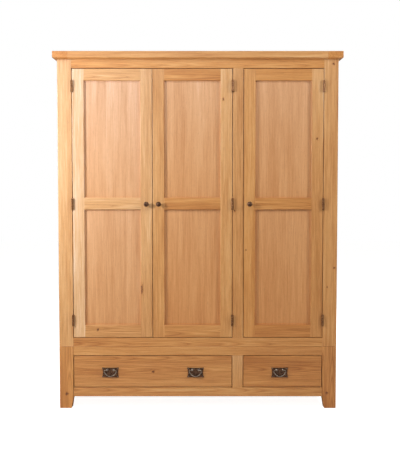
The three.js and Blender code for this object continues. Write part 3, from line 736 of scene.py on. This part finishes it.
def make_base():
    """The plinth unit under the cupboards: legs, ends, rails, divider, runners and back."""
    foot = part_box("base_bottom_rail")[0].z
    rail_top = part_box("base_bottom_rail")[1].z
    runner_top = rail_top + RUNNER_RISE
    post_low, post_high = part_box("centre_post")
    for place, side in (("left", -1), ("right", 1)):
        node = f"base_{place}_end"
        low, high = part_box(node)
        front_low, front_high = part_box(f"{place}_front_post")
        leg(f"base_{place}_front_leg", (front_low.x, low.y, 0), (front_high.x, front_high.y, high.z),
            side, "carcass", [node])
        outer = low.x if side < 0 else high.x
        xs = sorted((outer, outer - side * BACK_POST_WIDTH))
        leg(f"base_{place}_back_leg", (xs[0], high.y - BACK_POST_DEPTH, 0), (xs[1], high.y, high.z),
            side, "carcass")
        end_inside = outer - side * (END_RECESS + END_THICKNESS)
        xs = sorted((outer - side * END_RECESS, end_inside))
        board(f"base_{place}_end_board", (xs[0], front_high.y + JOINT_GAP, foot),
              (xs[1], high.y - BACK_POST_DEPTH - JOINT_GAP, high.z), Y, FRAME_OAK, "carcass",
              joints=even_joints(foot, high.z, 0.13), cut="flat")
        inner = low.x if side > 0 else high.x
        xs = sorted((inner, end_inside - side * JOINT_GAP))
        board(f"base_{place}_runner", (xs[0], front_high.y + JOINT_GAP, runner_top - RUNNER_DEPTH),
              (xs[1], high.y - BACK_POST_DEPTH - JOINT_GAP, runner_top), Y, PALE_OAK, "carcass")
    for node, cut in (("base_top_rail", "rift"), ("base_bottom_rail", "flat")):
        low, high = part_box(node)
        board(node + "_board", low, high, X, FRAME_OAK, "carcass", nodes=[node], cut=cut, eased=1.6,
              ends=False, butts=[(1 if "bottom" in node else -1, post_low.x, post_high.x)])

    low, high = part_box("drawer_divider")
    board("drawer_divider_post", (post_low.x, low.y, rail_top + FITTED_GAP),
          (post_high.x, low.y + BACK_POST_DEPTH, high.z), Z, FRAME_OAK, "carcass",
          nodes=["drawer_divider"], cut="flat", eased=2.0, ends=False)
    middle = (low.x + high.x) / 2
    board("drawer_divider_board",
          (middle - DIVIDER_HALF, low.y + BACK_POST_DEPTH + JOINT_GAP, runner_top + JOINT_GAP),
          (middle + DIVIDER_HALF, high.y, high.z), Y, PALE_OAK, "carcass", cut="flat")
    runner_low = (low.x, low.y + BACK_POST_DEPTH + FITTED_GAP, runner_top - RUNNER_DEPTH)
    board("drawer_divider_runner", runner_low, (high.x, high.y, runner_top), Y, PALE_OAK, "carcass")
    planked_panel("base_back_planks", "base_back", "carcass")


make_base()


# ---------------------------------------- doors

def hinge_leaf(name, x, axis_y, z, side, towards, body):
    """A thin brass leaf with three countersunk screws, let into the wood on one side of the gap.
    Side says which way its wood lies, and towards is how far back it reaches."""
    half = 31.6 * MM
    thickness = 1.3 * MM
    xs = sorted((x + side * 0.35 * MM, x + side * (0.35 * MM + thickness)))
    shape = box_shape((xs[0], axis_y + 3 * MM, z - half), (xs[1], axis_y + towards, z + half))
    ease(shape, 0.3 * MM, 1)
    for level in (-0.68, 0.0, 0.68):
        head = bmesh.new()
        bmesh.ops.create_cone(head, cap_ends=True, segments=20, radius1=3.1 * MM, radius2=2.6 * MM,
                              depth=0.5 * MM)
        tilt = Matrix.Rotation(-side * math.pi / 2, 4, "Y")
        where = Vector((x + side * 0.15 * MM, axis_y + towards * 0.62, z + level * half))
        bmesh.ops.transform(head, matrix=Matrix.Translation(where) @ tilt, verts=head.verts)
        absorb(shape, head)
    return finish_piece(name, shape, HINGE_BRASS, body)


KNUCKLES = 5
BARREL_STEPS = 20


def make_hinge(node, door_body, side):
    """A butt hinge: five knuckles in turn on the post's and the door's leaf, and a pin with domed
    heads. Side is -1 where the post is on the left of the gap."""
    low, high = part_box(node)
    radius = (high.x - low.x) / 2
    axis_x, axis_y = low.x + radius, low.y + radius
    middle = (low.z + high.z) / 2
    dome = 2.2 * MM
    span = (high.z - low.z - 2 * dome) / KNUCKLES
    gap, chamfer = 0.25 * MM, 0.5 * MM
    owners = {"post": ("carcass", [0, 2, 4]), "door": (door_body, [1, 3])}
    for owner, (body, turns) in owners.items():
        shape = bmesh.new()
        for turn in turns:
            bottom = low.z + dome + turn * span + gap
            top = bottom + span - 2 * gap
            profile = [(bottom, 0), (bottom, radius - chamfer), (bottom + chamfer, radius),
                       (top - chamfer, radius), (top, radius - chamfer), (top, 0)]
            spin_profile(shape, profile, BARREL_STEPS)
        if owner == "post":
            for bottom, direction in ((low.z + dome, -1), (high.z - dome, 1)):
                cap = [(bottom, 0), (bottom, radius * 0.9)]
                cap += swell(bottom, direction * dome, radius * 0.9, 30, 60)
                cap.append((bottom + direction * dome, 0))
                spin_profile(shape, cap, BARREL_STEPS)
        bmesh.ops.remove_doubles(shape, verts=shape.verts, dist=0.005 * MM)
        bmesh.ops.recalc_face_normals(shape, faces=shape.faces)
        bmesh.ops.translate(shape, vec=(axis_x, axis_y, 0), verts=shape.verts)
        finish_piece(f"{node}_{owner}_knuckles", shape, HINGE_BRASS, body,
                     [node] if owner == "post" else [], smooth=True)
    towards = high.y - axis_y - 2 * MM
    hinge_leaf(f"{node}_post_leaf", axis_x, axis_y, middle, side, towards, "carcass")
    hinge_leaf(f"{node}_door_leaf", axis_x, axis_y, middle, -side, towards, door_body)


def make_knob(node, body):
    """A mushroom knob: moulded foot, waisted stem and a full rounded head."""
    low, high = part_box(node)
    radius = (high.x - low.x) / 2
    reach = high.y - low.y
    centre = ((low.x + high.x) / 2, high.y, (low.z + high.z) / 2)
    foot, neck = 9 * MM, 4.6 * MM
    profile = [(-0.2 * MM, 0), (-0.2 * MM, foot), (0.8 * MM, foot)]
    profile += arc(0.8 * MM, foot - 1.6 * MM, 1.6 * MM, 0, 90, 4)
    profile += [(3.2 * MM, foot - 3.4 * MM), (5.0 * MM, neck + 0.8 * MM), (7.5 * MM, neck),
                (10.5 * MM, neck + 0.4 * MM), (13.0 * MM, neck + 2.4 * MM), (14.6 * MM, radius * 0.72),
                (16.6 * MM, radius * 0.92), (19.2 * MM, radius)]
    profile += swell(19.2 * MM, reach - 19.2 * MM, radius, 18, 36, 52, 66, 78)
    profile.append((reach, 0))
    turned(f"{node}_turned", profile, centre, (0, -1, 0), BRONZE, body, [node], steps=40)


def make_door(door, hinge_side):
    """Two stiles, three rails and two flat panels, with its knob and hinges."""
    rails_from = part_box(f"{door}_left_stile")[1].x
    rails_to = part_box(f"{door}_right_stile")[0].x
    for side in ("left", "right"):
        low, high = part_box(f"{door}_{side}_stile")
        inner = 1 if side == "left" else -1
        butts = [(inner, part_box(f"{door}_{rail}_rail")[0].z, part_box(f"{door}_{rail}_rail")[1].z)
                 for rail in ("bottom", "mid", "top")]
        board(f"{door}_{side}_stile_board", low, high, Z, FRAME_OAK, door,
              nodes=[f"{door}_{side}_stile"], eased=1.3, butts=butts, soft_sides=[inner])
    for rail in ("top", "mid", "bottom"):
        low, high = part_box(f"{door}_{rail}_rail")
        cut = random.Random(door + rail).choice(("flat", "rift"))
        board(f"{door}_{rail}_rail_board", (rails_from, low.y, low.z), (rails_to, high.y, high.z), X,
              FRAME_OAK, door, nodes=[f"{door}_{rail}_rail"], eased=1.3, cut=cut, ends=False,
              soft_sides={"top": [-1], "mid": [-1, 1], "bottom": [1]}[rail])
    for level in ("lower", "upper"):
        node = f"{door}_{level}_panel"
        low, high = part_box(node)
        board(f"{node}_veneer", low, high, Z, PANEL_OAK, door, nodes=[node], eased=0,
              joints=uneven_joints(node, low.x, high.x, 0.045, 0.085), cut="quarter", tones=0.06)
    make_knob(f"{door}_knob", door)
    for place in ("top", "middle", "bottom"):
        make_hinge(f"{door}_{place}_hinge", door, hinge_side)


for door_name, hinges_on in (("left_door", -1), ("middle_door", 1), ("right_door", 1)):
    make_door(door_name, hinges_on)


# ---------------------------------------- magnetic catches

def make_catch(door, x):
    """A magnetic catch behind the top rail, and its steel plate on the door."""
    rail_low, rail_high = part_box("upper_top_rail")
    door_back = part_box(f"{door}_top_rail")[1].y
    shape = box_shape((x - 22 * MM, rail_high.y + 0.3 * MM, rail_low.z - 13 * MM),
                      (x + 22 * MM, rail_high.y + 16 * MM, rail_low.z + 3 * MM))
    ease(shape, 1.5 * MM, 3)
    finish_piece(f"{door}_catch", shape, ABS, "carcass")
    plate = box_shape((x - 16 * MM, door_back + 0.1 * MM, rail_low.z - 15 * MM),
                      (x + 16 * MM, door_back + 1.3 * MM, rail_low.z - 4 * MM))
    ease(plate, 0.4 * MM, 2)
    finish_piece(f"{door}_catch_plate", plate, STEEL, door)


for door_name, free_stile, offset in (("left_door", "right", -50 * MM), ("middle_door", "left", 50 * MM),
                                      ("right_door", "left", 50 * MM)):
    stile_low, stile_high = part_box(f"{door_name}_{free_stile}_stile")
    make_catch(door_name, (stile_low.x + stile_high.x) / 2 + offset)


# ---------------------------------------- drawers

PLATE_THICKNESS = 2.5 * MM
PLATE_WAIST = 5 * MM
PLATE_BULGE = 2.2 * MM
DRAWER_GLUE_LINE = 35 * MM   # below the upper edge of the wide drawer


def plate_outline(width, height):
    """A plate with hollow sides and a bottom edge that swells in the middle, so its corners flare.
    The steps at the sides stay longer than the rim is wide, so that the rim's corners don't fold."""
    side_steps, edge_steps = 8, 14
    half_w, half_h = width / 2, height / 2
    points = []
    for i in range(side_steps):
        t = -1 + 2 * i / side_steps
        points.append((half_w - PLATE_WAIST * (1 - t * t), t * half_h))
    for i in range(edge_steps):
        t = 1 - 2 * i / edge_steps
        points.append((t * half_w, half_h - 1.2 * MM * math.cos(t * math.pi / 2)))
    for i in range(side_steps):
        t = 1 - 2 * i / side_steps
        points.append((-half_w + PLATE_WAIST * (1 - t * t), t * half_h))
    for i in range(edge_steps):
        t = -1 + 2 * i / edge_steps
        bulge = PLATE_BULGE * math.cos(t * math.pi / 2) ** 2
        points.append((t * half_w, -half_h + 1.6 * MM * (1 - abs(t) ** 3) - bulge))
    return points


def front_face(shape):
    """The largest face that looks forward."""
    return max((f for f in shape.faces if f.normal.y < -0.9), key=lambda f: f.calc_area())


def make_plate(node, body):
    """A cast plate with a raised rim, and four rivets."""
    low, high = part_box(node)
    plate_front = high.y - PLATE_THICKNESS
    centre_x, centre_z = (low.x + high.x) / 2, (low.z + high.z) / 2
    shape = bmesh.new()
    outline = plate_outline(high.x - low.x, high.z - low.z)
    verts = [shape.verts.new((centre_x + x, high.y, centre_z + z)) for x, z in outline]
    face = shape.faces.new(verts)
    raised = bmesh.ops.extrude_face_region(shape, geom=[face])
    moved = [g for g in raised["geom"] if isinstance(g, bmesh.types.BMVert)]
    bmesh.ops.translate(shape, vec=(0, plate_front - high.y, 0), verts=moved)
    bmesh.ops.recalc_face_normals(shape, faces=shape.faces)
    bmesh.ops.bevel(shape, geom=list(front_face(shape).edges), offset=0.9 * MM, offset_type="OFFSET",
                    affect="EDGES", segments=2, profile=0.5, material=-1)
    bmesh.ops.inset_region(shape, faces=[front_face(shape)], thickness=2.1 * MM, depth=0)
    bmesh.ops.inset_region(shape, faces=[front_face(shape)], thickness=0.7 * MM, depth=-0.8 * MM)
    finish_piece(f"{node}_cast", shape, BRONZE, body, [node], smooth=True)
    for side_x in (-1, 1):
        for side_z in (-1, 1):
            place = (centre_x + side_x * (high.x - low.x) * 0.43, plate_front + 0.4 * MM,
                     centre_z + side_z * (high.z - low.z) * 0.40)
            tag = ("left" if side_x < 0 else "right") + ("_lower" if side_z < 0 else "_upper")
            dome = [(0, 0), (0, 2.3 * MM), *swell(0, 1.7 * MM, 2.3 * MM, 25, 50, 72), (1.7 * MM, 0)]
            turned(f"{node}_{tag}_rivet", dome, place, (0, -1, 0), PEWTER, body, steps=16)


def make_bail(node, plate_node, body, bail_body):
    """The hanging loop, fuller at its lowest point and with beads at its ends, and the posts it
    swings in."""
    low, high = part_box(node)
    rod = (high.y - low.y) / 2
    axis_y = (low.y + high.y) / 2
    axis_z = high.z - rod
    drop = axis_z - (low.z + rod)
    centre_x = (low.x + high.x) / 2
    post_x = 17 * MM
    shoulder = post_x + 4.5 * MM + rod
    half_width = (high.x - low.x) / 2 - rod
    bow = math.sqrt((half_width - shoulder / 2) ** 2 - (shoulder / 2) ** 2)
    steps = 22
    right = []
    for i in range(steps + 1):
        angle = math.pi * i / steps
        across = bow * math.sin(angle) + shoulder * (1 - math.cos(angle)) / 2
        right.append((across, -drop * (1 + math.cos(angle)) / 2, 1.18 - 0.34 * (i / steps)))
    right.append((post_x + 1 * MM, 0, 0.8))
    right.append((post_x - 5 * MM, 0, 0.8))
    path = [(-x, z, r) for x, z, r in reversed(right[1:])] + right
    curve = bpy.data.curves.new("bail_path", "CURVE")
    curve.dimensions = "3D"
    curve.bevel_depth = rod * 0.92
    curve.bevel_resolution = 4
    curve.use_fill_caps = True
    spline = curve.splines.new("POLY")
    spline.points.add(len(path) - 1)
    for point, (x, z, radius) in zip(spline.points, path):
        point.co = (centre_x + x, axis_y, axis_z + z, 1)
        point.radius = radius
    holder = bpy.data.objects.new("bail_path", curve)
    bpy.context.collection.objects.link(holder)
    bpy.context.view_layer.update()
    swept = bpy.data.meshes.new_from_object(holder.evaluated_get(bpy.context.evaluated_depsgraph_get()))
    shape = bmesh.new()
    shape.from_mesh(swept)
    bpy.data.objects.remove(holder)
    bpy.data.curves.remove(curve)
    bpy.data.meshes.remove(swept)
    bmesh.ops.remove_doubles(shape, verts=shape.verts, dist=0.01 * MM)
    bmesh.ops.recalc_face_normals(shape, faces=shape.faces)
    finish_piece(f"{node}_loop", shape, PEWTER, bail_body, [node], smooth=True)
    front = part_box(plate_node)[1].y - PLATE_THICKNESS
    reach = front - axis_y
    head = 4.6 * MM
    profile = [(-1.0 * MM, 0), (-1.0 * MM, 5.6 * MM), (0.6 * MM, 5.6 * MM), (1.4 * MM, 4.6 * MM),
               (2.4 * MM, 3.2 * MM), (reach - head * 0.95, 2.7 * MM)]
    profile += swell(reach, head, head, -54, -36, -18, 0, 18, 36, 54, 72)
    profile.append((reach + head, 0))
    for side, place in ((-1, "left"), (1, "right")):
        turned(f"{plate_node}_{place}_post", profile, (centre_x + side * post_x, front, axis_z),
               (0, -1, 0), PEWTER, body, steps=24)


def drawer_box(drawer, node):
    """Two sides, a back, an inner front and a bottom board in grooves."""
    low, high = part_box(node)
    wall = 12 * MM
    board(f"{drawer}_left_side", low, (low.x + wall, high.y, high.z), Y, PALE_OAK, drawer, nodes=[node],
          cut="flat")
    board(f"{drawer}_right_side", (high.x - wall, low.y, low.z), high, Y, PALE_OAK, drawer, cut="flat")
    inner = (low.x + wall + 0.1 * MM, high.x - wall - 0.1 * MM)
    board(f"{drawer}_inner_front", (inner[0], low.y, low.z), (inner[1], low.y + wall, high.z), X,
          PALE_OAK, drawer, cut="flat")
    board(f"{drawer}_inner_back", (inner[0], high.y - wall, low.z), (inner[1], high.y, high.z), X,
          PALE_OAK, drawer, cut="flat")
    board(f"{drawer}_bottom_board", (inner[0], low.y + wall + 0.1 * MM, low.z + 6 * MM),
          (inner[1], high.y - wall - 0.1 * MM, low.z + 12 * MM), Y, PALE_OAK, drawer, eased=0,
          joints=even_joints(inner[0], inner[1], 0.15), cut="flat", wide=X)


def make_drawer(drawer, handles):
    """A drawer: its front, glued up from two staves if it is the wide one, its box and its handles."""
    low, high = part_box(f"{drawer}_front")
    board(f"{drawer}_front_board", low, high, X, FRAME_OAK, drawer, nodes=[f"{drawer}_front"],
          joints=[high.z - DRAWER_GLUE_LINE] if drawer == "wide_drawer" else [], cut="flat", eased=2.2,
          tones=(-0.03, -0.14) if drawer == "wide_drawer" else 0.02)
    drawer_box(drawer, f"{drawer}_box")
    for handle in handles:
        make_plate(f"{handle}_handle_plate", drawer)
        make_bail(f"{handle}_handle_bail", f"{handle}_handle_plate", drawer, f"{handle}_bail")


make_drawer("wide_drawer", ["wide_left", "wide_right"])
make_drawer("narrow_drawer", ["narrow"])
